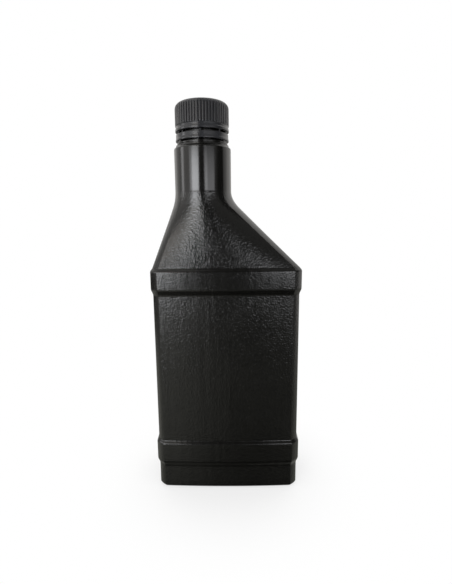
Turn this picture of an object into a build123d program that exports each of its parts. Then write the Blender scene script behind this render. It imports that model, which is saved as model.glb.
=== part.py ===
"""Long-neck oil bottle with its screw cap: a blow-moulded shell, a cap, its sealing disc and a tamper ring.

Millimetres, +Z up. The origin is the middle of the body's footprint on the ground. The broad label faces
look along -Y and +Y. The neck stands off centre, towards -X.
"""
import os
from math import cos, hypot, pi, radians, sin, tan

from build123d import *

# Body section between the bands
body_width = 87.8
body_depth = 42.0
face_crown = 1.0
side_crown = 0.4
corner_along_face = 4.3
corner_along_side = 4.8
corner_crown = 0.2
edge_round = 1.2
wall = 1.1

# Heights of the foot, the two raised bands and the shoulder
base_round = 1.8
base_steps = 4
band_proud = 1.2
lower_band_low = 15.1
lower_band_high = 31.8
upper_band_low = 124.1
shoulder_start = 139.6
band_bevel_below = 2.8
band_bevel_above = 1.5
shoulder_end = 179.4
shoulder_blend = 5.0
blend_steps = 6

# Recess under the foot, and the pinched seam that crosses it
recess_margin = 8.0
recess_depth = 2.4
recess_round = 5.0
recess_slope = 35.0
seam_width = 0.9
seam_height = 0.35
seam_length = 58.0

# Neck and threaded finish
neck_x = -13.4
neck_top = 208.6
side_face_angle = 20.0
broad_face_angle = 44.0
corner_angle = 1.6
finish_radius = 12.6
finish_wall = 1.7
finish_height = 19.3
mouth_wall_drop = 3.0
rim_round = 0.6
catch_depth = 1.5
catch_height = 1.7
catch_slope = 1.1

# Two beads that step down from the neck to the finish
neck_step = 1.25
neck_bevel = 1.2
lower_bead_step = 0.7
lower_bead_height = 0.9
bead_groove = 0.45
bead_groove_depth = 0.35
upper_bead_width = 2.3
upper_bead_height = 0.85

# Screw thread, one start, right-hand
pitch = 3.2
thread_depth = 1.1
thread_root = 1.7
thread_crest = 0.7
thread_sink = 0.15
neck_turns = 1.75
cap_turns = 1.4
thread_below_rim = 3.2

# Cap
cap_wall = 1.9
cap_roof = 1.7
cap_top_round = 3.5
cap_thread_clearance = 0.25
skirt_bead_height = 1.3
skirt_groove_depth = 0.3
skirt_groove_height = 1.1
skirt_slope = 0.45
skirt_edge_round = 0.4
rib_count = 56
rib_groove_radius = 0.5

# Sealing disc
disc_clearance = 0.15
disc_thickness = 1.0
seat_gap = 0.15

# Tamper ring
ring_seat_gap = 0.9
ring_gap = 1.55
ring_height = 3.75
ring_wall = 1.15
ring_foot_step = 0.25
ring_foot_height = 0.8
ring_slope = 0.7
ring_clearance = 0.2
hook_clearance = 0.3
hook_height = 1.0
bridge_count = 8
bridge_width = 1.1
bridge_depth = 0.6
bridge_gap = 0.2

# Radii that follow from the finish, outwards
mouth_radius = finish_radius - finish_wall
catch_radius = finish_radius + catch_depth
upper_bead_radius = finish_radius + upper_bead_width
lower_bead_radius = upper_bead_radius + lower_bead_step
neck_radius = lower_bead_radius + neck_step
cap_bore = finish_radius + thread_depth + cap_thread_clearance
cap_radius = cap_bore + cap_wall
disc_radius = cap_bore - thread_depth - disc_clearance
hook_radius = finish_radius + hook_clearance
ring_bore = catch_radius + ring_clearance
ring_outer = ring_bore + ring_wall
ring_foot_radius = ring_outer + ring_foot_step

# Heights that follow from the neck's top, upwards
lower_bead_low = neck_top + neck_bevel
groove_low = lower_bead_low + lower_bead_height
groove_high = groove_low + bead_groove
ledge_high = groove_high + upper_bead_height
ring_bottom = ledge_high + ring_seat_gap
hook_high = ring_bottom + hook_height
catch_low = hook_high + hook_clearance
catch_high = catch_low + catch_height
ring_top = ring_bottom + ring_height
cap_rim = ring_top + ring_gap
mouth = ledge_high + finish_height
disc_low = mouth + seat_gap
cap_ceiling = disc_low + disc_thickness + seat_gap
cap_top = cap_ceiling + cap_roof
thread_low = mouth - thread_below_rim - neck_turns * pitch

blend_top = shoulder_end + shoulder_blend
mitre = tan(pi / 8)
neck_axis = Axis((neck_x, 0, 0), (0, 0, 1))
neck_section = Plane(origin=(neck_x, 0, 0), x_dir=(1, 0, 0), z_dir=(0, -1, 0))


def rounded_corner(before, corner, after):
    """Start, middle and end of the small arc that rounds one corner of the body section."""
    into = (corner - before).normalized()
    out = (after - corner).normalized()
    half_turn = radians(into.get_angle(out)) / 2
    reach = edge_round * tan(half_turn)
    inward = (out - into).normalized()
    middle = corner + inward * (edge_round / cos(half_turn) - edge_round)
    return [corner - into * reach, middle, corner + out * reach]


def body_points(inset, tuck=0):
    """Points of the body section: per corner three, then the middle of the next face.

    The section lies inset under the surface, and a foot tucked in by tuck keeps its corners' size.
    """
    diagonal = hypot(corner_along_face, corner_along_side)
    spare = corner_along_face + corner_along_side - diagonal
    half_width = body_width / 2 - inset - tuck
    half_depth = body_depth / 2 - inset - tuck
    face_end = half_width - corner_along_face + inset * spare / corner_along_side
    side_end = half_depth - corner_along_side + inset * spare / corner_along_face
    face_y = half_depth - face_crown
    side_x = half_width - side_crown
    corners = [
        Vector(face_end, -face_y),
        Vector(side_x, -side_end),
        Vector(side_x, side_end),
        Vector(face_end, face_y),
        Vector(-face_end, face_y),
        Vector(-side_x, side_end),
        Vector(-side_x, -side_end),
        Vector(-face_end, -face_y),
    ]
    crowns = [corner_crown, side_crown, corner_crown, face_crown]
    points = []
    for index, corner in enumerate(corners):
        after = corners[(index + 1) % 8]
        along = (after - corner).normalized()
        outward = Vector(along.Y, -along.X)
        points += rounded_corner(corners[index - 1], corner, after)
        points.append((corner + after) / 2 + outward * crowns[index % 4])
    return points


def neck_points(inset):
    """The same points on the neck's circle."""
    ends = [-broad_face_angle, -side_face_angle, side_face_angle, broad_face_angle]
    ends += [180 + angle for angle in ends]
    points = []
    for index, angle in enumerate(ends):
        after = ends[index + 1] if index < 7 else ends[0] + 360
        for turn in (angle - corner_angle, angle, angle + corner_angle, (angle + after) / 2):
            points.append(Vector(
                neck_x + (neck_radius - inset) * cos(radians(turn)),
                (neck_radius - inset) * sin(radians(turn)),
            ))
    return points


def section(height, points):
    """Flat section at a height: arcs through each pair of neighbouring points and the point between them."""
    raised = [Vector(point.X, point.Y, height) for point in points]
    arcs = []
    for index in range(0, len(raised), 2):
        after = raised[(index + 2) % len(raised)]
        arcs.append(Edge.make_three_point_arc(raised[index], raised[index + 1], after))
    return Face(Wire(arcs))


def body_sections(skin):
    """Sections from the foot to the top of the upper band, skin millimetres under the outer surface."""
    rows = []
    foot = base_round - skin
    for step in range(base_steps + 1):
        turn = step * pi / 2 / base_steps
        rows.append((skin + foot * (1 - cos(turn)), skin, foot * (1 - sin(turn))))
    top = shoulder_start - skin * mitre
    for low, high in ((lower_band_low, lower_band_high), (upper_band_low, top)):
        rows.append((low, skin, 0))
        rows.append((low + band_bevel_below, skin - band_proud, 0))
        rows.append((high - band_bevel_above, skin - band_proud, 0))
        rows.append((high, skin, 0))
    return [section(height, body_points(inset, tuck)) for height, inset, tuck in rows]


def shoulder_sections(skin):
    """Sections of the shoulder: straight slants that ease into the upright neck."""
    slope = 1 / (shoulder_end - shoulder_start)
    rows = [(shoulder_start - skin * mitre, 0)]
    for step in range(blend_steps + 1):
        below = 2 * shoulder_blend * (1 - step / blend_steps)
        rows.append((blend_top - skin * mitre - below, 1 - slope * below ** 2 / (4 * shoulder_blend)))
    ends = list(zip(body_points(skin), neck_points(skin)))
    sections = []
    for height, share in rows:
        sections.append(section(height, [first * (1 - share) + last * share for first, last in ends]))
    return sections


def screw_thread(low, turns, radius, outward):
    """Thread on a wall: outward is 1 on the outside of a neck and -1 on the inside of a cap."""
    start = Vector(neck_x + radius, 0, low)
    with BuildPart() as thread:
        with BuildLine():
            helix = Helix(pitch, turns * pitch, radius, center=(neck_x, 0, low))
        with BuildSketch(Plane(origin=start, x_dir=(outward, 0, 0), z_dir=helix % 0)):
            with BuildLine():
                Polyline(
                    (-thread_sink, -thread_root / 2),
                    (thread_depth, -thread_crest / 2),
                    (thread_depth, thread_crest / 2),
                    (-thread_sink, thread_root / 2),
                    close=True,
                )
            make_face()
        sweep(path=helix, is_frenet=True)
    return thread.part


# Bottle: outer form, neck and finish, then the inside
recess_width = body_width - 2 * recess_margin
recess_length = body_depth - 2 * recess_margin
neck_thread = screw_thread(thread_low, neck_turns, finish_radius, 1)

with BuildPart() as bottle:
    loft(body_sections(0), ruled=True)
    loft(shoulder_sections(0), ruled=True)
    with BuildSketch(neck_section) as neck_profile:
        with BuildLine():
            Polyline(
                (0, blend_top),
                (neck_radius, blend_top),
                (neck_radius, neck_top),
                (lower_bead_radius, lower_bead_low),
                (lower_bead_radius, groove_low),
                (upper_bead_radius - bead_groove_depth, groove_low),
                (upper_bead_radius - bead_groove_depth, groove_high),
                (upper_bead_radius, groove_high),
                (upper_bead_radius, ledge_high),
                (finish_radius, ledge_high),
                (finish_radius, catch_low),
                (catch_radius, catch_low),
                (catch_radius, catch_high - catch_slope),
                (finish_radius, catch_high),
                (finish_radius, mouth),
                (0, mouth),
                close=True,
            )
        make_face()
        fillet(neck_profile.vertices().group_by(Axis.Y)[-1].sort_by(Axis.X)[-1], rim_round)
    revolve(axis=neck_axis)
    loft(body_sections(wall), ruled=True, mode=Mode.SUBTRACT)
    loft(shoulder_sections(wall), ruled=True, mode=Mode.SUBTRACT)
    with BuildSketch(neck_section) as bore_profile:
        with BuildLine():
            Polyline(
                (0, blend_top - wall * mitre),
                (neck_radius - wall, blend_top - wall * mitre),
                (neck_radius - wall, neck_top),
                (mouth_radius, neck_top + mouth_wall_drop),
                (mouth_radius, mouth),
                (0, mouth),
                close=True,
            )
        make_face()
    revolve(axis=neck_axis, mode=Mode.SUBTRACT)
    with BuildSketch() as raised_floor:
        RectangleRounded(recess_width + 2 * wall, recess_length + 2 * wall, recess_round + wall)
    extrude(amount=recess_depth + wall, taper=recess_slope)
    with BuildSketch() as foot_recess:
        RectangleRounded(recess_width, recess_length, recess_round)
    extrude(amount=recess_depth, taper=recess_slope, mode=Mode.SUBTRACT)
    with Locations((0, 0, recess_depth)):
        Box(seam_length, seam_width, 2 * seam_height)
    add(neck_thread)

bottle.part.label = "bottle"

# Cap: a turned shell, fine grooves round its grip, a thread half a pitch from the neck's
bead_high = cap_rim + skirt_bead_height
skirt_groove_low = bead_high + skirt_slope
skirt_groove_high = skirt_groove_low + skirt_groove_height
grip_low = skirt_groove_high + skirt_slope
cap_thread = screw_thread(thread_low - pitch / 2, cap_turns, cap_bore, -1)

with BuildPart() as cap:
    with BuildSketch(neck_section) as cap_profile:
        with BuildLine():
            Polyline(
                (0, cap_top),
                (0, cap_ceiling),
                (cap_bore, cap_ceiling),
                (cap_bore, cap_rim),
                (cap_radius, cap_rim),
                (cap_radius, bead_high),
                (cap_radius - skirt_groove_depth, skirt_groove_low),
                (cap_radius - skirt_groove_depth, skirt_groove_high),
                (cap_radius, grip_low),
                (cap_radius, cap_top),
                close=True,
            )
        make_face()
        fillet(cap_profile.vertices().group_by(Axis.Y)[0].sort_by(Axis.X)[-1], skirt_edge_round)
        fillet(cap_profile.vertices().group_by(Axis.Y)[-1].sort_by(Axis.X)[-1], cap_top_round)
    revolve(axis=neck_axis)
    with BuildSketch(Plane.XY.offset(grip_low)) as grip_grooves:
        with Locations((neck_x, 0)):
            with PolarLocations(cap_radius, rib_count):
                Circle(rib_groove_radius)
    extrude(amount=cap_top - grip_low, mode=Mode.SUBTRACT)
    add(cap_thread)

cap.part.label = "cap"

# Sealing disc, between the cap's roof and the mouth
with BuildPart() as cap_liner:
    with BuildSketch(Plane.XY.offset(disc_low)) as disc_outline:
        with Locations((neck_x, 0)):
            Circle(disc_radius)
    extrude(amount=disc_thickness)

cap_liner.part.label = "cap_liner"

# Tamper ring: it hooks under the neck's catch and carries the stubs of the broken bridges
with BuildPart() as tamper_ring:
    with BuildSketch(neck_section) as ring_profile:
        with BuildLine():
            Polyline(
                (hook_radius, ring_bottom + hook_height / 2),
                (hook_radius, hook_high),
                (ring_bore, hook_high),
                (ring_bore, ring_top),
                (ring_outer, ring_top),
                (ring_outer, ring_bottom + ring_foot_height + ring_slope),
                (ring_foot_radius, ring_bottom + ring_foot_height),
                (ring_foot_radius, ring_bottom),
                (ring_bore, ring_bottom),
                close=True,
            )
        make_face()
    revolve(axis=neck_axis)
    bridge_height = ring_gap - bridge_gap
    with Locations((neck_x, 0, ring_top)):
        with PolarLocations((ring_bore + ring_outer) / 2, bridge_count):
            Box(bridge_depth, bridge_width, 2 * bridge_height)

tamper_ring.part.label = "tamper_ring"

os.makedirs("parts", exist_ok=True)
export_step(bottle.part, "parts/bottle.step")
export_step(cap.part, "parts/cap.step")
export_step(cap_liner.part, "parts/cap_liner.step")
export_step(tamper_ring.part, "parts/tamper_ring.step")
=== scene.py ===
"""Looks for a black oil bottle: blown shell, threaded neck, ribbed screw cap, sealing disc and tamper ring.

Blender works in metres. Sizes below are in millimetres and are turned to metres where a mesh is made.
"""
from math import atan2, cos, hypot, pi, radians, sin, tan

import bpy
import numpy as np
from mathutils import Matrix, Vector, noise


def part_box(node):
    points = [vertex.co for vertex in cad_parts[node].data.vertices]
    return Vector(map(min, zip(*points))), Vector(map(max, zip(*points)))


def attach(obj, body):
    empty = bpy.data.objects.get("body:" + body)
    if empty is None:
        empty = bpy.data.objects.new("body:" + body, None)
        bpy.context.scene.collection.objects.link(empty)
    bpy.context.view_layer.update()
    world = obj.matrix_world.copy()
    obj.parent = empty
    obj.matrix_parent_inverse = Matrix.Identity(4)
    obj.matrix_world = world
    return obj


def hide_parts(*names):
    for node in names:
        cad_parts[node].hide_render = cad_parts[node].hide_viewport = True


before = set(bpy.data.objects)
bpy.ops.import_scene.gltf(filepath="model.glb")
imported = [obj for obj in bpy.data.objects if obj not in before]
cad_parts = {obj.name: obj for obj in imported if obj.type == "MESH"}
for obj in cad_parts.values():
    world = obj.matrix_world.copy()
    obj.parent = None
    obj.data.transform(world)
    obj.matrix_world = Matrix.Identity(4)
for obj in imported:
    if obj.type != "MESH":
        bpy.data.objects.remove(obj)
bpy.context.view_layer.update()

METRE = 1000.0

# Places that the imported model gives, in millimetres
cap_low, cap_high = (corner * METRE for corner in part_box("cap"))
ring_low, ring_high = (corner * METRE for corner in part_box("tamper_ring"))
disc_low, disc_high = (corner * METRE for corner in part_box("cap_liner"))
bottle_low, bottle_high = (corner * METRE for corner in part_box("bottle"))
neck_x = (cap_low.x + cap_high.x) / 2
cap_radius = (cap_high.x - cap_low.x) / 2
cap_rim, cap_top = cap_low.z, cap_high.z
mouth = bottle_high.z

# Body section
band_proud = 1.2
body_width = bottle_high.x - bottle_low.x - 2 * band_proud
body_depth = bottle_high.y - bottle_low.y - 2 * band_proud
face_crown = 1.0
side_crown = 0.4
corner_along_face = 4.3
corner_along_side = 4.8
corner_crown = 0.2
edge_round = 1.2
wall = 1.1

# Faint waves of the blown wall, and the room that the skin leaves for the parting line
seam_room = 0.02
wave_depth = 0.05
wave_width = 11.0
wave_height = 80.0
wave_fade_low = 10.0
wave_fade_high = 15.0

# Heights of the foot, bands, shoulder and neck
base_round = 1.8
lower_band = (15.1, 31.8)
upper_band = (124.1, 139.6)
bevel_below = 2.8
bevel_above = 1.5
band_low_round = 0.9
band_high_round = 0.6
band_top_round = 0.5
shoulder_start = upper_band[1]
shoulder_end = 179.4
shoulder_blend = 5.0
blend_top = shoulder_end + shoulder_blend
neck_top = 208.6

# Foot recess and seams
recess_margin = 8.0
recess_depth = 2.4
recess_run = 1.7
recess_floor = 6.0
recess_round = 0.7
rim_width = 1.0
seam_length = 58.0
seam_thickness = 0.9
seam_lift = 0.1
parting_thickness = 0.5

# Grain and streaks of the bottle's plastic: sizes, depths and shares
grain_top = 184.0
grain_fade = 0.9
grain_size = 0.85
grain_depth = 0.16
shoulder_grain = 0.9
band_grain = 0.6
edge_grain = 0.1
edge_fade = 0.5
edge_reach = 0.1
streak_width = 4.5
streak_height = 55.0
streak_depth = 0.09

# Neck, and two beads that step down from it to the finish
side_face_angle = 20.0
broad_face_angle = 44.0
corner_angle = 1.6
finish_radius = 12.6
upper_bead_radius = finish_radius + 2.3
lower_bead_radius = upper_bead_radius + 0.7
neck_radius = lower_bead_radius + 1.25
neck_bevel = 1.2
lower_bead_height = 0.9
bead_groove = 0.45
bead_groove_depth = 0.35
upper_bead_height = 0.85

# Tamper ring, and the catch that it hooks under
hook_height = 1.0
hook_gap = 0.3
hook_radius = finish_radius + hook_gap
catch_radius = finish_radius + 1.5
catch_low = ring_low.z + hook_height + hook_gap
catch_height = 1.7
catch_slope = 1.1
ring_bore = catch_radius + 0.2
ring_outer = ring_bore + 1.15
ring_foot_height = 0.8
ring_slope = 0.7
bridge_count = 8
bridge_width = 1.1
bridge_depth = 0.6
bridge_height = 1.35
ring_top = ring_high.z - bridge_height

# Mouth, and the thread with one start: over a share of its length each end fades to a share of its size
mouth_radius = 10.9
mouth_wall_drop = 3.0
pitch = 3.2
thread_depth = 1.1
thread_sink = 0.1
thread_root = 1.7
thread_crest = 0.7
thread_fade = 0.09
thread_tip = 0.15
neck_turns = 1.75
cap_turns = 1.4
thread_below_rim = 3.2
thread_low = mouth - thread_below_rim - neck_turns * pitch

# Cap
cap_bore = finish_radius + thread_depth + 0.25
cap_roof = 1.7
cap_top_round = 3.5
bead_high = cap_rim + 1.3
skirt_groove_depth = 0.3
skirt_groove_height = 1.1
skirt_slope = 0.45
skirt_groove_low = bead_high + skirt_slope
skirt_groove_high = skirt_groove_low + skirt_groove_height
grip_low = skirt_groove_high + skirt_slope
rib_count = 56
rib_height = 0.6
rib_sink = 0.08

# Room that the gloss shows, by azimuth from the front in degrees and level
room_wall = [
    (-180, 0.4), (-165, 0.25), (-150, 0.9), (-135, 1.2), (-112, 0.8), (-97, 0.6), (-84, 1.1), (-72, 1.1),
    (-60, 1.0), (-47, 0.9), (-20, 0.6), (-12, 0.1), (0, 0.07), (9, 0.1), (16, 0.25), (56, 0.35), (66, 0.08),
    (90, 0.05), (100, 0.6), (120, 1.2), (150, 0.9), (162, 0.7), (172, 0.6), (180, 0.4),
]
room_edge = [
    (-180, 0.3), (-130, 0.1), (-97, 0.05), (-88, 0.25), (-70, 0.6), (-24, 0.9), (-14, 0.6), (-7, 0.2),
    (3, 0.04), (10, 0.08), (18, 0.3), (50, 0.3), (85, 0.2), (98, 1.0), (135, 1.0), (180, 0.3),
]
room_floor = [
    (-180, 0.4), (-130, 0.5), (-100, 0.7), (-85, 0.4), (-60, 0.48), (-16, 0.73), (-9, 0.45), (-3, 0.19),
    (4, 0.12), (14, 0.2), (25, 0.34), (60, 0.22), (85, 0.22), (97, 0.45), (125, 0.4), (180, 0.4),
]
room_ground = [
    (-180, 0.4), (-60, 0.15), (-16, 0.13), (-9, 0.07), (-3, 0.03), (4, 0.02), (25, 0.04), (97, 0.4),
    (180, 0.4),
]
wall_tint = (1.0, 0.98, 0.95)
floor_tint = (1.0, 1.0, 0.9)

# Height of the view direction over which each part of the room turns into the next one up
ground_blend = (-0.63, -0.48)
floor_blend = (-0.32, -0.2)
edge_blend = (-0.15, 0.0)

# Soft lamps: azimuths and elevations in degrees from the bottle's middle, level and colour
windows = {
    "left_window": ((-40, -15), (-8, 12.5), 9.0, (0.95, 0.97, 1.0)),
    "outer_window": ((-53, -40), (-7, 12.5), 3.0, (0.95, 0.97, 1.0)),
    "left_sky": ((-38, -15), (15, 40), 1.9, (1.0, 0.95, 0.88)),
    "right_window": ((9.5, 21), (-6, 12), 4.3, (0.96, 0.97, 1.0)),
    "far_window": ((21, 50), (-6, 12), 2.4, (0.96, 0.97, 1.0)),
    "side_window": ((-92, -78), (0, 16), 2.4, (0.98, 0.98, 1.0)),
}
window_distance = 1.5
window_middle = 0.13

# Rows and columns of the fine meshes
corner_columns = 4
strip_columns = 6
side_columns = 18
broad_columns = 36
lathe_columns = 144
thread_columns = 72
ridge_columns = 12
row_gap = 3.0
round_steps = 5
base_steps = 6
blend_steps = 14
cap_top_rows = 10
rib_top_rows = 6


def arc_between(start, middle, end, count):
    """count points of the arc through three points, leaving out its end."""
    (ax, ay), (bx, by), (cx, cy) = start, middle, end
    double = 2 * (ax * (by - cy) + bx * (cy - ay) + cx * (ay - by))
    shares = np.arange(count) / count
    if abs(double) < 1e-9:
        return [(ax + (cx - ax) * share, ay + (cy - ay) * share) for share in shares]
    sa, sb, sc = ax * ax + ay * ay, bx * bx + by * by, cx * cx + cy * cy
    ox = (sa * (by - cy) + sb * (cy - ay) + sc * (ay - by)) / double
    oy = (sa * (cx - bx) + sb * (ax - cx) + sc * (bx - ax)) / double
    radius = hypot(ax - ox, ay - oy)
    first = atan2(ay - oy, ax - ox)
    sweep = (atan2(cy - oy, cx - ox) - first) % (2 * pi)
    if (atan2(by - oy, bx - ox) - first) % (2 * pi) > sweep:
        sweep -= 2 * pi
    return [(ox + radius * cos(first + sweep * s), oy + radius * sin(first + sweep * s)) for s in shares]


def rounded_corner(before, corner, after):
    """Start, middle and end of the small arc that rounds one corner of the body section."""
    into = (corner - before).normalized()
    out = (after - corner).normalized()
    half_turn = into.angle(out) / 2
    reach = edge_round * tan(half_turn)
    inward = (out - into).normalized()
    middle = corner + inward * (edge_round / cos(half_turn) - edge_round)
    return [corner - into * reach, middle, corner + out * reach]


def body_points(inset, tuck):
    """Points that set out the body section: per corner three, then the middle of the next face."""
    spare = corner_along_face + corner_along_side - hypot(corner_along_face, corner_along_side)
    half_width = body_width / 2 - inset - tuck
    half_depth = body_depth / 2 - inset - tuck
    face_end = half_width - corner_along_face + inset * spare / corner_along_side
    side_end = half_depth - corner_along_side + inset * spare / corner_along_face
    face_y = half_depth - face_crown
    side_x = half_width - side_crown
    right = [(face_end, -face_y), (side_x, -side_end), (side_x, side_end), (face_end, face_y)]
    corners = [Vector(place) for place in right] + [Vector((-x, -y)) for x, y in right]
    crowns = [corner_crown, side_crown, corner_crown, face_crown]
    points = []
    for index, corner in enumerate(corners):
        after = corners[(index + 1) % 8]
        along = (after - corner).normalized()
        points += rounded_corner(corners[index - 1], corner, after)
        points.append((corner + after) / 2 + Vector((along.y, -along.x)) * crowns[index % 4])
    return points


def neck_points(inset):
    """The same points on the neck's circle."""
    ends = [-broad_face_angle, -side_face_angle, side_face_angle, broad_face_angle]
    ends += [180 + angle for angle in ends]
    radius = neck_radius - inset
    points = []
    for index, angle in enumerate(ends):
        after = ends[index + 1] if index < 7 else ends[0] + 360
        for turn in (angle - corner_angle, angle, angle + corner_angle, (angle + after) / 2):
            points.append(Vector((neck_x + radius * cos(radians(turn)), radius * sin(radians(turn)))))
    return points


def section(inset, share, tuck=0):
    """Fine outline of the bottle, a share of the way from the body's shape to the neck's circle."""
    pairs = zip(body_points(inset, tuck), neck_points(inset))
    points = [first * (1 - share) + last * share for first, last in pairs]
    face_columns = [strip_columns, side_columns, strip_columns, broad_columns]
    ring = []
    for index in range(8):
        a, b, c, d, e = (points[(4 * index + step) % len(points)] for step in range(5))
        ring += arc_between(a, b, c, corner_columns)
        ring += arc_between(c, d, e, face_columns[index % 4])
    return np.array(ring)


def outward(ring):
    """Unit normals of an outline that runs anticlockwise."""
    along = np.roll(ring, -1, axis=0) - np.roll(ring, 1, axis=0)
    along /= np.linalg.norm(along, axis=1)[:, None]
    return np.stack([along[:, 1], -along[:, 0]], axis=1)


def softened(stations):
    """Rounds the corners of a path: each station is its values and how far the rounding reaches."""
    most_of_leg = 0.45
    rows = [np.array(stations[0][0], float)]
    for before, here, after in zip(stations, stations[1:], stations[2:]):
        corner = np.array(here[0], float)
        ends = []
        for other in (before, after):
            way = np.array(other[0], float) - corner
            length = max(hypot(way[0], way[1]), 1e-6)
            ends.append(corner + way * min(here[1] / length, most_of_leg))
        for step in range(round_steps + 1):
            t = step / round_steps
            rows.append((1 - t) ** 2 * ends[0] + 2 * t * (1 - t) * corner + t * t * ends[1])
    rows.append(np.array(stations[-1][0], float))
    return rows


def filled(rows, gap):
    """Adds rows so that no two are further apart than the gap."""
    full = [rows[0]]
    for row in rows[1:]:
        pieces = max(1, int(np.ceil(np.linalg.norm((row - full[-1])[:2]) / gap)))
        start = full[-1]
        full += [start + (row - start) * step / pieces for step in range(1, pieces + 1)]
    return full


def in_metres(places):
    """Places in millimetres as tuples in metres."""
    return [tuple(value / METRE for value in place) for place in places]


def ring_faces(low, high, count):
    """Faces between two rings of count points, of which these are the first ones."""
    turned = [(column, (column + 1) % count) for column in range(count)]
    return [(low + here, low + after, high + after, high + here) for here, after in turned]


def grid_mesh(name, rings, first_pole=None, last_pole=None, closed=False):
    """Mesh from rings of equally many points, with poles or a closed loop of rings; faces point outwards."""
    count = len(rings[0])
    last_row = (len(rings) - 1) * count
    places = [tuple(point) for ring in rings for point in ring]
    faces = []
    for low in range(0, last_row, count):
        faces += ring_faces(low, low + count, count)
    if closed:
        faces += ring_faces(last_row, 0, count)
    for pole, row, flipped in ((first_pole, 0, True), (last_pole, last_row, False)):
        if pole is None:
            continue
        places.append(tuple(pole))
        for column in range(count):
            edge = (row + column, row + (column + 1) % count)
            faces.append((*(reversed(edge) if flipped else edge), len(places) - 1))
    mesh = bpy.data.meshes.new(name)
    mesh.from_pydata(in_metres(places), [], faces)
    mesh.validate()
    return mesh


def bar_mesh(name, rings):
    """Small closed bar through rings of points, with a flat face at each end."""
    count = len(rings[0])
    places = [point for ring in rings for point in ring]
    last_row = len(places) - count
    faces = []
    for low in range(0, last_row, count):
        faces += ring_faces(low, low + count, count)
    faces += [tuple(reversed(range(count))), tuple(range(last_row, len(places)))]
    mesh = bpy.data.meshes.new(name)
    mesh.from_pydata(in_metres(places), [], faces)
    return mesh


def smooth_by_area(mesh):
    """Smooth shading with normals that lean to the larger faces, so that flats stay flat beside bevels."""
    mesh.polygons.foreach_set("use_smooth", [True] * len(mesh.polygons))
    normals = np.zeros((len(mesh.vertices), 3))
    for polygon in mesh.polygons:
        normals[list(polygon.vertices)] += np.array(polygon.normal) * polygon.area
    lengths = np.linalg.norm(normals, axis=1)[:, None]
    mesh.normals_split_custom_set_from_vertices(normals / np.maximum(lengths, 1e-20))


def in_scene(name, data):
    """A new object of the scene that shows this data."""
    obj = bpy.data.objects.new(name, data)
    bpy.context.scene.collection.objects.link(obj)
    return obj


def piece_from(mesh, body, material, replaced=()):
    """Shows a mesh as a piece of the object that rides on a body."""
    obj = in_scene(mesh.name, mesh)
    if material is not None:
        mesh.materials.clear()
        mesh.materials.append(material)
    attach(obj, body)
    if replaced:
        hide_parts(*replaced)
    return obj


# Node helpers


def add_node(tree, kind, values=None, **settings):
    """A node with its settings and the values of its input sockets."""
    made = tree.nodes.new(kind)
    for key, value in settings.items():
        setattr(made, key, value)
    for key, value in (values or {}).items():
        made.inputs[key].default_value = value
    return made


def add_sockets(tree, inputs, outputs):
    """Sockets of a node group, given as the kind of each name."""
    for way, sockets in (("INPUT", inputs), ("OUTPUT", outputs)):
        for name, kind in sockets.items():
            tree.interface.new_socket(name, in_out=way, socket_type="NodeSocket" + kind)


def math_node(tree, operation, first, second=None):
    """A Math node fed by sockets or by numbers."""
    made = tree.nodes.new("ShaderNodeMath")
    made.operation = operation
    for index, value in enumerate((first, second)):
        if value is None:
            continue
        if isinstance(value, (int, float)):
            made.inputs[index].default_value = value
        else:
            tree.links.new(value, made.inputs[index])
    return made.outputs[0]


def ramp_node(tree, factor, stops):
    """Colour from a ramp whose stops are pairs of position and colour."""
    ramp = tree.nodes.new("ShaderNodeValToRGB")
    elements = ramp.color_ramp.elements
    while len(elements) < len(stops):
        elements.new(0.5)
    for element, (position, colour) in zip(elements, stops):
        element.position = position
        element.color = (*colour, 1)
    tree.links.new(factor, ramp.inputs["Fac"])
    return ramp.outputs["Color"]


def mapped(tree, value, ranges, **settings):
    """A value turned from one range into another."""
    made = add_node(tree, "ShaderNodeMapRange", ranges, **settings)
    tree.links.new(value, made.inputs["Value"])
    return made.outputs[0]


def blend(tree, share, first, second, colour=False):
    """A share of the way from the first value or colour to the second."""
    made = add_node(tree, "ShaderNodeMix", data_type="RGBA" if colour else "FLOAT")
    pair = made.inputs[6:8] if colour else made.inputs[2:4]
    for value, socket in zip((share, first, second), (made.inputs[0], *pair)):
        tree.links.new(value, socket)
    return made.outputs[2 if colour else 0]


def mixed_shader(tree, share, first, second):
    """The first shader where the share is 0, and the second where it is 1."""
    mixed = tree.nodes.new("ShaderNodeMixShader")
    tree.links.new(share, mixed.inputs["Fac"])
    tree.links.new(first, mixed.inputs[1])
    tree.links.new(second, mixed.inputs[2])
    return mixed.outputs[0]


# Geometry node trees


def shape_tree(name, inputs):
    """A geometry tree with named inputs and a material, and the outputs of its input node."""
    tree = bpy.data.node_groups.new(name, "GeometryNodeTree")
    add_sockets(tree, {**inputs, "Material": "Material"}, {"Geometry": "Geometry"})
    return tree, tree.nodes.new("NodeGroupInput").outputs


def finish_tree(tree, given, shape):
    """Ends a geometry tree with a real mesh of its material."""
    real = tree.nodes.new("GeometryNodeRealizeInstances")
    finish = tree.nodes.new("GeometryNodeSetMaterial")
    out = tree.nodes.new("NodeGroupOutput")
    tree.links.new(shape, real.inputs[0])
    tree.links.new(real.outputs[0], finish.inputs["Geometry"])
    tree.links.new(given["Material"], finish.inputs["Material"])
    tree.links.new(finish.outputs[0], out.inputs["Geometry"])
    return tree


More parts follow.
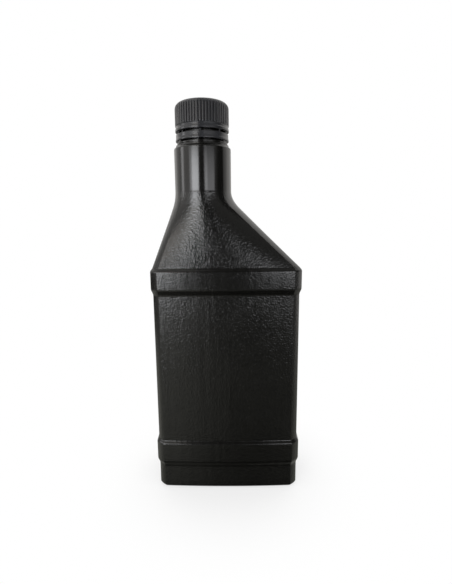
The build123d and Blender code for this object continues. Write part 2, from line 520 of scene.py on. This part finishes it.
def ring_of_copies_tree():
    """Copies of a small shape, turned about an upright axis."""
    tree, given = shape_tree("ring_of_copies", {"Shape": "Object", "Count": "Int", "Centre": "Vector"})
    points = tree.nodes.new("GeometryNodePoints")
    shape = tree.nodes.new("GeometryNodeObjectInfo")
    index = tree.nodes.new("GeometryNodeInputIndex")
    turn = math_node(tree, "MULTIPLY", math_node(tree, "DIVIDE", index.outputs[0], given["Count"]), 2 * pi)
    angles = tree.nodes.new("ShaderNodeCombineXYZ")
    copies = tree.nodes.new("GeometryNodeInstanceOnPoints")
    links = tree.links
    links.new(given["Shape"], shape.inputs["Object"])
    links.new(given["Count"], points.inputs["Count"])
    links.new(given["Centre"], points.inputs["Position"])
    links.new(turn, angles.inputs["Z"])
    links.new(points.outputs[0], copies.inputs["Points"])
    links.new(shape.outputs["Geometry"], copies.inputs["Instance"])
    links.new(angles.outputs[0], copies.inputs["Rotation"])
    return finish_tree(tree, given, copies.outputs[0])


def thread_tree():
    """A screw thread: a trapezium swept along a spiral, fading at both ends."""
    sizes = dict.fromkeys(("Turns", "Rise", "Radius", "Depth", "Root", "Crest"), "Float")
    tree, given = shape_tree("screw_thread", {**sizes, "Start": "Vector"})
    links = tree.links
    spiral = add_node(tree, "GeometryNodeCurveSpiral", {"Resolution": thread_columns})
    upright = add_node(tree, "GeometryNodeSetCurveNormal", mode="Z_UP")
    factor = tree.nodes.new("GeometryNodeSplineParameter").outputs["Factor"]
    from_end = math_node(tree, "SUBTRACT", 1.0, factor)
    nearest = math_node(tree, "MINIMUM", factor, from_end)
    fade = mapped(tree, nearest, {"From Max": thread_fade, "To Min": thread_tip, "To Max": 1.0})
    profile = add_node(tree, "GeometryNodeCurvePrimitiveQuadrilateral", {"Offset": 0.0}, mode="TRAPEZOID")
    upended = add_node(tree, "GeometryNodeTransform", {"Rotation": (0, 0, pi / 2)})
    sweep = add_node(tree, "GeometryNodeCurveToMesh", {"Fill Caps": True})
    place = tree.nodes.new("GeometryNodeTransform")
    shade = add_node(tree, "GeometryNodeSetShadeSmooth", {"Shade Smooth": False})
    links.new(given["Turns"], spiral.inputs["Rotations"])
    links.new(given["Radius"], spiral.inputs["Start Radius"])
    links.new(given["Radius"], spiral.inputs["End Radius"])
    links.new(given["Rise"], spiral.inputs["Height"])
    links.new(spiral.outputs[0], upright.inputs["Curve"])
    links.new(given["Root"], profile.inputs["Bottom Width"])
    links.new(given["Crest"], profile.inputs["Top Width"])
    links.new(given["Depth"], profile.inputs["Height"])
    links.new(upright.outputs[0], sweep.inputs["Curve"])
    links.new(profile.outputs[0], upended.inputs["Geometry"])
    links.new(upended.outputs[0], sweep.inputs["Profile Curve"])
    links.new(fade, sweep.inputs["Scale"])
    links.new(sweep.outputs[0], place.inputs["Geometry"])
    links.new(given["Start"], place.inputs["Translation"])
    links.new(place.outputs[0], shade.inputs["Geometry"])
    return finish_tree(tree, given, shade.outputs[0])


def ridge_tree():
    """A round ridge swept along the edges of a path."""
    tree, given = shape_tree("swept_ridge", {"Path": "Object", "Thickness": "Float"})
    path = tree.nodes.new("GeometryNodeObjectInfo")
    curve = tree.nodes.new("GeometryNodeMeshToCurve")
    profile = add_node(tree, "GeometryNodeCurvePrimitiveCircle", {"Resolution": ridge_columns})
    sweep = add_node(tree, "GeometryNodeCurveToMesh", {"Fill Caps": True})
    shade = tree.nodes.new("GeometryNodeSetShadeSmooth")
    links = tree.links
    links.new(given["Path"], path.inputs["Object"])
    links.new(path.outputs["Geometry"], curve.inputs[0])
    links.new(math_node(tree, "DIVIDE", given["Thickness"], 2.0), profile.inputs["Radius"])
    links.new(curve.outputs[0], sweep.inputs["Curve"])
    links.new(profile.outputs[0], sweep.inputs["Profile Curve"])
    links.new(sweep.outputs[0], shade.inputs["Geometry"])
    return finish_tree(tree, given, shade.outputs[0])


def grown_mesh(name, tree, values):
    """The plain mesh that a geometry tree makes from named values."""
    carrier = in_scene(name + "_carrier", bpy.data.meshes.new(name + "_carrier"))
    modifier = carrier.modifiers.new(name, "NODES")
    modifier.node_group = tree
    for item in tree.interface.items_tree:
        if item.in_out == "INPUT" and item.name in values:
            modifier[item.identifier] = values[item.name]
    carrier.update_tag()
    bpy.context.view_layer.update()
    graph = bpy.context.evaluated_depsgraph_get()
    mesh = bpy.data.meshes.new_from_object(carrier.evaluated_get(graph))
    mesh.name = name
    carrier.modifiers.remove(modifier)
    bpy.data.objects.remove(carrier)
    return mesh


# Materials


def shader_group(name, inputs, outputs):
    """A shader group with named sockets: its tree, what its inputs give, and its output sockets."""
    tree = bpy.data.node_groups.new(name, "ShaderNodeTree")
    add_sockets(tree, inputs, outputs)
    return tree, tree.nodes.new("NodeGroupInput").outputs, tree.nodes.new("NodeGroupOutput").inputs


def grain_group():
    """Fine moulded grain: cushion-shaped pebbles with a soft noise over them."""
    tree, given, out = shader_group(
        "moulded_grain", {"Pebble Size": "Float", "Roughness Share": "Float"}, {"Height": "Float"}
    )
    place = tree.nodes.new("ShaderNodeTexCoord").outputs["Object"]
    scale = math_node(tree, "DIVIDE", METRE, given["Pebble Size"])
    pebbles = add_node(tree, "ShaderNodeTexVoronoi", {"Smoothness": 0.3}, feature="SMOOTH_F1")
    soft = add_node(tree, "ShaderNodeTexNoise", {"Detail": 1.5, "Roughness": 0.5})
    for texture in (pebbles, soft):
        tree.links.new(place, texture.inputs["Vector"])
        tree.links.new(scale, texture.inputs["Scale"])
    cushions = math_node(tree, "MULTIPLY", pebbles.outputs["Distance"], pebbles.outputs["Distance"])
    tree.links.new(blend(tree, given["Roughness Share"], cushions, soft.outputs["Fac"]), out["Height"])
    return tree


def handling_group():
    """Slow changes of gloss from handling, and a thin film of dust."""
    tree, given, out = shader_group(
        "handling",
        {"Glossiest": "Float", "Dullest": "Float", "Clean": "Color", "Dusty": "Color"},
        {"Roughness": "Float", "Color": "Color"},
    )
    place = tree.nodes.new("ShaderNodeTexCoord").outputs["Object"]
    broad = add_node(tree, "ShaderNodeTexNoise", {"Scale": 45.0, "Detail": 4.0, "Roughness": 0.6})
    fine = add_node(tree, "ShaderNodeTexNoise", {"Scale": 420.0, "Detail": 3.0, "Roughness": 0.7})
    for texture in (broad, fine):
        tree.links.new(place, texture.inputs["Vector"])
    broad_share = 0.65
    both = math_node(
        tree, "ADD",
        math_node(tree, "MULTIPLY", broad.outputs["Fac"], broad_share),
        math_node(tree, "MULTIPLY", fine.outputs["Fac"], 1 - broad_share),
    )
    share = mapped(tree, both, {"From Min": 0.35, "From Max": 0.65})
    tree.links.new(blend(tree, share, given["Glossiest"], given["Dullest"]), out["Roughness"])
    tree.links.new(blend(tree, share, given["Clean"], given["Dusty"], colour=True), out["Color"])
    return tree


def new_material(name):
    """An empty node material with its Principled shader."""
    material = bpy.data.materials.new(name)
    material.use_nodes = True
    return material, material.node_tree, material.node_tree.nodes["Principled BSDF"]


def group_node(tree, group, **values):
    """A group placed in a material with its own values; underscores stand for spaces."""
    made = tree.nodes.new("ShaderNodeGroup")
    made.node_tree = group
    for key, value in values.items():
        made.inputs[key.replace("_", " ")].default_value = value
    return made


def handled_skin(tree, shader, handling, **values):
    """Gives a shader the gloss and colour of a handled surface."""
    skin = group_node(tree, handling, **values)
    tree.links.new(skin.outputs["Roughness"], shader.inputs["Roughness"])
    tree.links.new(skin.outputs["Color"], shader.inputs["Base Color"])


def relief(tree, height, depth, under=None):
    """Bump of a depth in millimetres, over another one where there is one."""
    bump = add_node(tree, "ShaderNodeBump", {"Strength": 1.0, "Distance": depth / METRE})
    tree.links.new(height, bump.inputs["Height"])
    if under is not None:
        tree.links.new(under, bump.inputs["Normal"])
    return bump.outputs["Normal"]


def blown_streaks(tree, place):
    """Height of the long upright streaks that the plastic keeps from being drawn down and blown out."""
    drawn = add_node(tree, "ShaderNodeVectorMath", operation="MULTIPLY")
    drawn.inputs[1].default_value = [METRE / size for size in (streak_width, streak_width, streak_height)]
    streaks = add_node(tree, "ShaderNodeTexNoise", {"Scale": 1.0, "Detail": 1.0, "Roughness": 0.5})
    tree.links.new(place, drawn.inputs[0])
    tree.links.new(drawn.outputs[0], streaks.inputs["Vector"])
    return streaks.outputs["Fac"]


def worn_edges(tree, height):
    """Share of the grain left at each height: less on the bands, and nearly none on their upper edges."""
    shares = [(0, 1.0)]
    for (low, high), above in ((lower_band, 1.0), (upper_band, shoulder_grain)):
        bevel = high - bevel_above - edge_reach
        top = high + edge_reach
        shares += [(low, 1.0), (low + bevel_below, band_grain)]
        shares += [(bevel - edge_fade, band_grain), (bevel, edge_grain)]
        shares += [(top, edge_grain), (top + edge_fade, above)]
    stops = [(place / mouth, [share] * 3) for place, share in shares]
    return ramp_node(tree, math_node(tree, "MULTIPLY", height, METRE / mouth), stops)


def bottle_plastic(grain, handling):
    """Black polyethylene: pebbled below the neck, glossy on the neck."""
    material, tree, shader = new_material("black_bottle_plastic")
    place = tree.nodes.new("ShaderNodeTexCoord").outputs["Object"]
    split = tree.nodes.new("ShaderNodeSeparateXYZ")
    tree.links.new(place, split.inputs[0])
    height = split.outputs["Z"]
    low, high = (grain_top - grain_fade) / METRE, grain_top / METRE
    grained = mapped(tree, height, {"From Min": low, "From Max": high, "To Min": 1.0, "To Max": 0.0})
    handled_skin(
        tree, shader, handling,
        Glossiest=0.14, Dullest=0.20,
        Clean=(0.0010, 0.0010, 0.0008, 1), Dusty=(0.0022, 0.0021, 0.0017, 1),
    )
    pebbles = group_node(tree, grain, Pebble_Size=grain_size, Roughness_Share=0.55)
    unworn = math_node(tree, "MULTIPLY", worn_edges(tree, height), grained)
    lift = math_node(tree, "MULTIPLY", pebbles.outputs["Height"], unworn)
    streaks = relief(tree, blown_streaks(tree, place), streak_depth)
    tree.links.new(relief(tree, lift, grain_depth, streaks), shader.inputs["Normal"])
    shader.inputs["IOR"].default_value = 1.52
    return material


def cap_plastic(grain, handling):
    """Black polypropylene of the cap and its ring, with a satin skin."""
    material, tree, shader = new_material("black_cap_plastic")
    handled_skin(
        tree, shader, handling,
        Glossiest=0.13, Dullest=0.20,
        Clean=(0.014, 0.0145, 0.0165, 1), Dusty=(0.020, 0.0205, 0.0225, 1),
    )
    fine = group_node(tree, grain, Pebble_Size=0.35, Roughness_Share=0.7)
    tree.links.new(relief(tree, fine.outputs["Height"], 0.008), shader.inputs["Normal"])
    shader.inputs["IOR"].default_value = 1.5
    return material


def disc_foam(grain, handling):
    """Pale expanded foam of the sealing disc."""
    material, tree, shader = new_material("pale_foam")
    handled_skin(
        tree, shader, handling,
        Glossiest=0.55, Dullest=0.75,
        Clean=(0.80, 0.80, 0.77, 1), Dusty=(0.70, 0.69, 0.65, 1),
    )
    cells = group_node(tree, grain, Pebble_Size=0.25, Roughness_Share=0.3)
    tree.links.new(relief(tree, cells.outputs["Height"], 0.04), shader.inputs["Normal"])
    return material


# Bottle shell


def base_rows(skin):
    """Rows of the rounded foot, skin millimetres under the surface, from the ground up."""
    radius = base_round - skin
    turns = [step * pi / 2 / base_steps for step in range(base_steps + 1)]
    return [np.array([skin + radius * (1 - cos(t)), skin, 0, radius * (1 - sin(t))]) for t in turns]


def body_rows(skin):
    """Rows of height, inset, share and tuck, from the foot's rounding to the top of the neck's blend."""
    drop = skin * tan(pi / 8)
    top = shoulder_start - drop
    stations = [((base_round, skin, 0, 0), 0)]
    for low, high in (lower_band, (upper_band[0], top)):
        proud = skin - band_proud
        stations.append(((low, skin, 0, 0), band_low_round))
        stations.append(((low + bevel_below, proud, 0, 0), band_low_round))
        stations.append(((high - bevel_above, proud, 0, 0), band_high_round))
        stations.append(((high, skin, 0, 0), band_top_round))
    slope = 1 / (shoulder_end - shoulder_start)
    blend_start = blend_top - drop - 2 * shoulder_blend
    stations.append(((blend_start, skin, 1 - shoulder_blend * slope, 0), 0))
    rows = filled(softened(stations), row_gap)
    for step in range(1, blend_steps + 1):
        below = 2 * shoulder_blend * (1 - step / blend_steps)
        share = 1 - slope * below ** 2 / (4 * shoulder_blend)
        rows.append(np.array([blend_top - drop - below, skin, share, 0]))
    return rows


def finish_rows():
    """Rows of the neck, ledge, catch, finish and mouth, then down the inside to the neck.

    The path gives height, radius and how far each corner's rounding reaches.
    """
    lower_bead_low = neck_top + neck_bevel
    groove_low = lower_bead_low + lower_bead_height
    groove_high = groove_low + bead_groove
    ledge_high = groove_high + upper_bead_height
    catch_high = catch_low + catch_height
    path = [
        (blend_top, neck_radius, 0),
        (neck_top, neck_radius, 0.4),
        (lower_bead_low, lower_bead_radius, 0.3),
        (groove_low, lower_bead_radius, 0.4),
        (groove_low, upper_bead_radius - bead_groove_depth, 0.15),
        (groove_high, upper_bead_radius - bead_groove_depth, 0.1),
        (groove_high, upper_bead_radius, 0.28),
        (ledge_high, upper_bead_radius, 0.3),
        (ledge_high, finish_radius, 0.3),
        (catch_low, finish_radius, 0.3),
        (catch_low, catch_radius, 0.15),
        (catch_high - catch_slope, catch_radius, 0.3),
        (catch_high, finish_radius, 0.3),
        (mouth, finish_radius, 0.6),
        (mouth, mouth_radius, 0.4),
        (neck_top + mouth_wall_drop, mouth_radius, 1.0),
        (neck_top, neck_radius - wall, 1.0),
        (blend_top, neck_radius - wall, 0),
    ]
    stations = [((height, neck_radius - radius, 1, 0), reach) for height, radius, reach in path]
    return filled(softened(stations), row_gap)


def foot_rings(skin):
    """Rings from the foot's centre out to its rim, with the recess pushed up into it."""
    rim = section(0, 0, base_round)
    half_width, half_depth = rim[:, 0].max(), rim[:, 1].max()
    recess_width = body_width / 2 - recess_margin + skin
    recess_length = body_depth / 2 - recess_margin + skin
    path = [
        ((skin + recess_depth, -recess_floor), 0),
        ((skin + recess_depth, -recess_run), recess_round),
        ((skin, 0.0), recess_round),
        ((skin, rim_width), 0),
    ]
    rings = []
    for height, grow in softened(path):
        scale = ((recess_width + grow) / half_width, (recess_length + grow) / half_depth)
        rings.append(np.column_stack([rim * np.array(scale), np.full(len(rim), height)]))
    return rings


def wavy(ring, height):
    """Moves a ring of the outer skin inwards by the faint upright waves of a blown wall."""
    low, high = (height - base_round) / wave_fade_low, (shoulder_end - height) / wave_fade_high
    strength = max(0, min(1, low, high))
    normals = outward(ring)
    moved = ring.copy()
    for index, (x, y) in enumerate(ring):
        depth = 0.5 + 0.5 * noise.noise(Vector((x / wave_width, y / wave_width, height / wave_height)))
        moved[index] -= normals[index] * strength * (seam_room + depth * wave_depth)
    return moved


def raised_ring(row, waved):
    """One ring of the shell from its row of height, inset, share and tuck."""
    height, inset, share, tuck = row
    ring = section(inset, share, tuck)
    if waved:
        ring = wavy(ring, height)
    return np.column_stack([ring, np.full(len(ring), height)])


def bottle_shell(material):
    """The whole blown bottle as one closed shell, outside and inside."""
    outer = base_rows(0)[:-1] + body_rows(0)
    inner = base_rows(wall)[:-1] + body_rows(wall)
    rings = foot_rings(0)
    rings += [raised_ring(row, True) for row in outer]
    rings += [raised_ring(row, False) for row in finish_rows()[1:-1] + inner[::-1]]
    rings += foot_rings(wall)[::-1]
    mesh = grid_mesh("bottle_shell", rings, (0, 0, recess_depth), (0, 0, recess_depth + wall))
    smooth_by_area(mesh)
    return piece_from(mesh, "bottle_body", material, ["bottle"])


def swept_ridge(name, tree, lines, thickness, material):
    """A ridge of the bottle's own plastic along lines of points, as one piece."""
    places = [place for line in lines for place in line]
    edges = []
    first = 0
    for line in lines:
        edges += [(step, step + 1) for step in range(first, first + len(line) - 1)]
        first += len(line)
    mesh = bpy.data.meshes.new(name + "_path")
    mesh.from_pydata(in_metres(places), edges, [])
    path = in_scene(name + "_path", mesh)
    ridge = grown_mesh(name, tree, {"Path": path, "Thickness": thickness / METRE, "Material": material})
    bpy.data.objects.remove(path)
    return piece_from(ridge, "bottle_body", None)


def parting_lines():
    """Where the two mould halves met: up both narrow sides, from the foot to the top of the neck."""
    rows = body_rows(0) + [np.array([neck_top - neck_bevel, 0, 1, 0])]
    half_ring = 4 * corner_columns + 2 * strip_columns + side_columns + broad_columns
    right = 2 * corner_columns + strip_columns + side_columns // 2
    sunk = parting_thickness / 2 - seam_room
    lines = []
    for column, inward in ((right, -sunk), (right + half_ring, sunk)):
        line = [raised_ring(row, True)[column] for row in rows]
        lines.append([(x + inward, y, z) for x, y, z in line])
    return lines


# Turned pieces


def lathe_mesh(name, profile, poles=False):
    """Mesh turned about the neck's axis from pairs of radius and height, with the outside on their right."""
    turns = np.arange(lathe_columns) * 2 * pi / lathe_columns
    rings = []
    for radius, height in profile:
        ring = [neck_x + radius * np.cos(turns), radius * np.sin(turns), np.full(lathe_columns, height)]
        rings.append(np.column_stack(ring))
    if not poles:
        return grid_mesh(name, rings, closed=True)
    return grid_mesh(name, rings, (neck_x, 0, profile[0][1]), (neck_x, 0, profile[-1][1]))


def soft_profile(path):
    """Pairs of radius and height with rounded corners, from radius, height and the rounding's reach."""
    return [(radius, height) for radius, height in softened([((r, z), reach) for r, z, reach in path])]


def top_rounding(first, last, count):
    """Points of the cap's rounded top edge between two angles above the level."""
    radius, height = cap_radius - cap_top_round, cap_top - cap_top_round
    turns = np.linspace(first, last, count)
    return [(radius + cap_top_round * cos(turn), height + cap_top_round * sin(turn)) for turn in turns]


def core_angle():
    """Angle of the top edge's rounding at which the cap's core under the ribs comes out."""
    return np.arccos(1 - rib_height / cap_top_round)


def cap_shell(material):
    """The cap without its ribs: skirt bead and groove, grip core, rounded top, roof and bore."""
    core = cap_radius - rib_height
    groove_radius = cap_radius - skirt_groove_depth
    ceiling = cap_top - cap_roof
    lower = [
        (cap_bore, cap_rim + 1.0, 0),
        (cap_bore, cap_rim, 0.3),
        (cap_radius, cap_rim, 0.3),
        (cap_radius, bead_high, 0.2),
        (groove_radius, skirt_groove_low, 0.15),
        (groove_radius, skirt_groove_high, 0.15),
        (cap_radius, grip_low, 0.15),
        (core, grip_low, 0.1),
        (core, grip_low + 1.0, 0),
    ]
    roof = [(1.5, ceiling), (8.0, ceiling), (cap_bore - 0.3, ceiling)]
    bore = [(cap_bore, ceiling - 1.0), (cap_bore, cap_rim + 5.0)]
    flat = [(radius, cap_top) for radius in (9.0, 5.0, 1.5)]
    profile = roof + bore + soft_profile(lower) + top_rounding(core_angle(), pi / 2, cap_top_rows) + flat
    mesh = lathe_mesh("cap_shell", profile, poles=True)
    smooth_by_area(mesh)
    return piece_from(mesh, "cap_body", material, ["cap"])


def rib_shape():
    """One grip rib at the cap's angle 0: a rounded bar that follows the top's rounding and fades there."""
    rib_pitch = 2 * pi * cap_radius / rib_count
    across = [(-0.43, 0), (-0.35, 0.7), (-0.26, 0.95), (0, 1.0), (0.26, 0.95), (0.35, 0.7), (0.43, 0)]
    spine = [(cap_radius, grip_low - 0.05), (cap_radius, grip_low + 0.3)]
    spine += top_rounding(0, core_angle(), rib_top_rows)
    base = cap_radius - rib_height - rib_sink
    rings = []
    for radius, height in spine:
        rings.append([(base + (radius - base) * lift, side * rib_pitch, height) for side, lift in across])
    mesh = bar_mesh("rib", rings)
    sides = len(mesh.polygons) - 2
    rounded = [index % len(across) < len(across) - 1 for index in range(sides)]
    mesh.polygons.foreach_set("use_smooth", [*rounded, False, False])
    return mesh


def copies_around(name, shape_mesh, count, tree, material, body):
    """A ring of copies of a small shape about the neck's axis, as one piece."""
    shape = in_scene(name + "_one", shape_mesh)
    values = {"Shape": shape, "Count": count, "Centre": (neck_x / METRE, 0, 0), "Material": material}
    mesh = grown_mesh(name, tree, values)
    bpy.data.objects.remove(shape)
    return piece_from(mesh, body, None)


def ring_shell(material):
    """The tamper ring: flared foot, plain band and the inner hook under the neck's catch."""
    low = ring_low.z
    foot_radius = (ring_high.x - ring_low.x) / 2
    path = [
        (hook_radius, low + hook_height / 2, 0.1),
        (ring_bore, low, 0.15),
        (foot_radius, low, 0.25),
        (foot_radius, low + ring_foot_height, 0.3),
        (ring_outer, low + ring_foot_height + ring_slope, 0.3),
        (ring_outer, ring_top, 0.25),
        (ring_bore, ring_top, 0.2),
        (ring_bore, low + hook_height, 0.15),
        (hook_radius, low + hook_height, 0.15),
    ]
    loop = [path[-1], *path, path[0]]
    mesh = lathe_mesh("tamper_ring_shell", soft_profile(loop)[1:-1])
    smooth_by_area(mesh)
    return piece_from(mesh, "bottle_body", material, ["tamper_ring"])


def bridge_shape():
    """One broken bridge at the angle 0 of the ring: a stub that narrows to its torn tip."""
    middle = (ring_bore + ring_outer) / 2
    rows = [(ring_top - 0.1, 1.0), (ring_top + 0.2, 0.92), (ring_high.z - 0.35, 0.72), (ring_high.z, 0.5)]
    corners = [(-1, -0.6), (-0.6, -1), (0.6, -1), (1, -0.6), (1, 0.6), (0.6, 1), (-0.6, 1), (-1, 0.6)]
    rings = []
    for height, share in rows:
        deep, wide = bridge_depth / 2 * share, bridge_width / 2 * share
        rings.append([(middle + x * deep, y * wide, height) for x, y in corners])
    return bar_mesh("bridge", rings)


def sealing_disc(material):
    """The foam disc, with the shallow ring that the mouth presses into its underside."""
    radius = (disc_high.x - disc_low.x) / 2
    print_middle = (finish_radius + mouth_radius) / 2
    print_half_width = 0.3
    print_high = disc_low.z + 0.12
    path = [
        (0.5, disc_low.z, 0),
        (mouth_radius - 0.2, disc_low.z, 0.3),
        (print_middle - print_half_width, print_high, 0.2),
        (print_middle + print_half_width, print_high, 0.2),
        (finish_radius - 0.3, disc_low.z, 0.2),
        (radius, disc_low.z, 0.2),
        (radius, disc_high.z, 0.2),
        (0.5, disc_high.z, 0),
    ]
    mesh = lathe_mesh("sealing_disc", soft_profile(path), poles=True)
    smooth_by_area(mesh)
    return piece_from(mesh, "liner_body", material, ["cap_liner"])


def thread_mesh(name, tree, radius, low, turns, inward, material):
    """A thread that stands out from the neck's wall or inwards from the cap's."""
    root, crest = (thread_crest, thread_root) if inward else (thread_root, thread_crest)
    values = {
        "Turns": float(turns),
        "Rise": turns * pitch / METRE,
        "Radius": (radius + (-thread_depth / 2 if inward else thread_depth / 2)) / METRE,
        "Depth": (thread_depth + thread_sink) / METRE,
        "Root": root / METRE,
        "Crest": crest / METRE,
        "Start": (neck_x / METRE, 0, low / METRE),
        "Material": material,
    }
    return grown_mesh(name, tree, values)


# Stage, light and camera


def floor_material():
    """Pale floor that keeps the shadow near the bottle and turns plain white further out."""
    material, tree, shader = new_material("floor_paper")
    shader.inputs["Base Color"].default_value = (0.92, 0.92, 0.92, 1)
    shader.inputs["Roughness"].default_value = 0.9
    shader.inputs["Specular IOR Level"].default_value = 0.0
    length = add_node(tree, "ShaderNodeVectorMath", operation="LENGTH")
    tree.links.new(tree.nodes.new("ShaderNodeTexCoord").outputs["Object"], length.inputs[0])
    near, outer, near_share = 0.03, 0.1, 0.62
    far = mapped(
        tree, length.outputs["Value"],
        {"From Min": near, "From Max": outer, "To Min": near_share}, interpolation_type="SMOOTHSTEP",
    )
    seen = tree.nodes.new("ShaderNodeLightPath").outputs["Is Camera Ray"]
    share = math_node(tree, "MULTIPLY", far, seen)
    white = add_node(tree, "ShaderNodeEmission", {"Color": (1, 1, 1, 1), "Strength": 1.0})
    mixed = mixed_shader(tree, share, shader.outputs[0], white.outputs[0])
    tree.links.new(mixed, tree.nodes["Material Output"].inputs["Surface"])
    return material


def floor_disc():
    """A wide pale floor under the bottle."""
    radius, columns = 3.0, 64
    turns = [2 * pi * column / columns for column in range(columns)]
    ring = [(radius * cos(turn), radius * sin(turn), 0) for turn in turns]
    mesh = bpy.data.meshes.new("floor")
    mesh.from_pydata(ring, [], [tuple(range(columns))])
    mesh.materials.append(floor_material())
    floor = in_scene("floor", mesh)
    floor.visible_glossy = False


def room_ramp(tree, around, levels, tint):
    """Colour of a part of the room by azimuth."""
    stops = [(angle / 360 + 0.5, [level * share for share in tint]) for angle, level in levels]
    return ramp_node(tree, around, stops)


def between_heights(tree, height, heights, below, above):
    """Blends two colours between two heights of the view direction."""
    ranges = {"From Min": heights[0], "From Max": heights[1]}
    share = mapped(tree, height, ranges, interpolation_type="SMOOTHSTEP")
    return blend(tree, share, below, above, colour=True)


def studio_world():
    """White backdrop for the camera; in the gloss, a pale wall behind and a dim room in front."""
    world = bpy.data.worlds.new("studio")
    bpy.context.scene.world = world
    world.use_nodes = True
    tree = world.node_tree
    tree.nodes.clear()
    ray = tree.nodes.new("ShaderNodeLightPath").outputs
    way = tree.nodes.new("ShaderNodeSeparateXYZ")
    tree.links.new(tree.nodes.new("ShaderNodeTexCoord").outputs["Generated"], way.inputs[0])
    height = way.outputs["Z"]
    front = math_node(tree, "MULTIPLY", way.outputs["Y"], -1.0)
    turn = math_node(tree, "ARCTAN2", way.outputs["X"], front)
    around = math_node(tree, "ADD", math_node(tree, "DIVIDE", turn, 2 * pi), 0.5)
    room = room_ramp(tree, around, room_ground, floor_tint)
    room = between_heights(tree, height, ground_blend, room, room_ramp(tree, around, room_floor, floor_tint))
    room = between_heights(tree, height, floor_blend, room, room_ramp(tree, around, room_edge, wall_tint))
    room = between_heights(tree, height, edge_blend, room, room_ramp(tree, around, room_wall, wall_tint))
    gloss = add_node(tree, "ShaderNodeBackground")
    tree.links.new(room, gloss.inputs["Color"])
    plain = add_node(tree, "ShaderNodeBackground", {"Color": (1, 1, 1, 1), "Strength": 0.5})
    white = add_node(tree, "ShaderNodeBackground", {"Color": (1, 1, 1, 1), "Strength": 1.0})
    lit = mixed_shader(tree, ray["Is Glossy Ray"], plain.outputs[0], gloss.outputs[0])
    direct = math_node(tree, "MAXIMUM", ray["Is Camera Ray"], ray["Is Transmission Ray"])
    out = tree.nodes.new("ShaderNodeOutputWorld")
    tree.links.new(mixed_shader(tree, direct, lit, white.outputs[0]), out.inputs["Surface"])


def overhead_lamp():
    """A wide soft lamp that lights the floor and stays out of the gloss."""
    lamp = bpy.data.lights.new("overhead", "AREA")
    lamp.size = 1.6
    lamp.energy = 16.0
    obj = in_scene("overhead", lamp)
    obj.location = (0, 0.2, 1.5)
    obj.visible_camera = False
    obj.visible_glossy = False


def soft_window(name, azimuths, elevations, level, colour):
    """An upright soft lamp that fills a range of directions from the bottle's middle."""
    turn = radians(sum(azimuths) / 2)
    width = 2 * window_distance * tan(radians(azimuths[1] - azimuths[0]) / 2)
    low, high = (window_distance * tan(radians(angle)) for angle in elevations)
    lamp = bpy.data.lights.new(name, "AREA")
    lamp.shape = "RECTANGLE"
    lamp.size = width
    lamp.size_y = high - low
    lamp.energy = level * pi * width * (high - low)
    lamp.color = colour
    obj = in_scene(name, lamp)
    away = Vector((sin(turn), -cos(turn), 0)) * window_distance
    obj.location = away + Vector((0, 0, window_middle + (low + high) / 2))
    obj.rotation_euler = (pi / 2, 0, turn)
    obj.visible_camera = False


def photo_camera():
    """Camera at the photograph's place, tilt and width of view."""
    place = Vector((3.34, -247.1, 166.05)) / METRE
    tilt_down, turn_right, roll = 0.1746, -0.0147, -0.0108
    focal_pixels, frame_height, sensor = 395.52, 584, 36.0
    ahead = Vector((sin(turn_right) * cos(tilt_down), cos(turn_right) * cos(tilt_down), -sin(tilt_down)))
    right = Vector((cos(turn_right), -sin(turn_right), 0))
    up = right.cross(ahead)
    across = right * cos(roll) + up * sin(roll)
    upward = up * cos(roll) - right * sin(roll)
    data = bpy.data.cameras.new("photo_camera")
    data.sensor_width = sensor
    data.lens = focal_pixels / frame_height * sensor
    data.clip_start = 0.01
    data.clip_end = 20.0
    camera = in_scene("photo_camera", data)
    turned = Matrix((across, upward, -ahead)).transposed().to_4x4()
    camera.matrix_world = Matrix.Translation(place) @ turned
    bpy.context.scene.camera = camera


grain = grain_group()
handling = handling_group()
copies = ring_of_copies_tree()
threads = thread_tree()
ridges = ridge_tree()
bottle_black = bottle_plastic(grain, handling)
cap_black = cap_plastic(grain, handling)
foam = disc_foam(grain, handling)

bottle_shell(bottle_black)
swept_ridge("parting_line", ridges, parting_lines(), parting_thickness, bottle_black)
foot_seam = [(end * seam_length / 2, 0, recess_depth + seam_lift) for end in (-1, 1)]
swept_ridge("foot_seam", ridges, [foot_seam], seam_thickness, bottle_black)
cap_shell(cap_black)
copies_around("cap_ribs", rib_shape(), rib_count, copies, cap_black, "cap_body")
ring_shell(cap_black)
copies_around(
    "tamper_bridges", bridge_shape(), bridge_count, copies, cap_black, "bottle_body"
)
sealing_disc(foam)
neck_thread = thread_mesh("neck_thread", threads, finish_radius, thread_low, neck_turns, False, bottle_black)
piece_from(neck_thread, "bottle_body", None)
cap_thread = thread_mesh("cap_thread", threads, cap_bore, thread_low - pitch / 2, cap_turns, True, cap_black)
piece_from(cap_thread, "cap_body", None)

floor_disc()
studio_world()
for window, light in windows.items():
    soft_window(window, *light)
overhead_lamp()
photo_camera()
bpy.context.scene.view_settings.view_transform = "Standard"
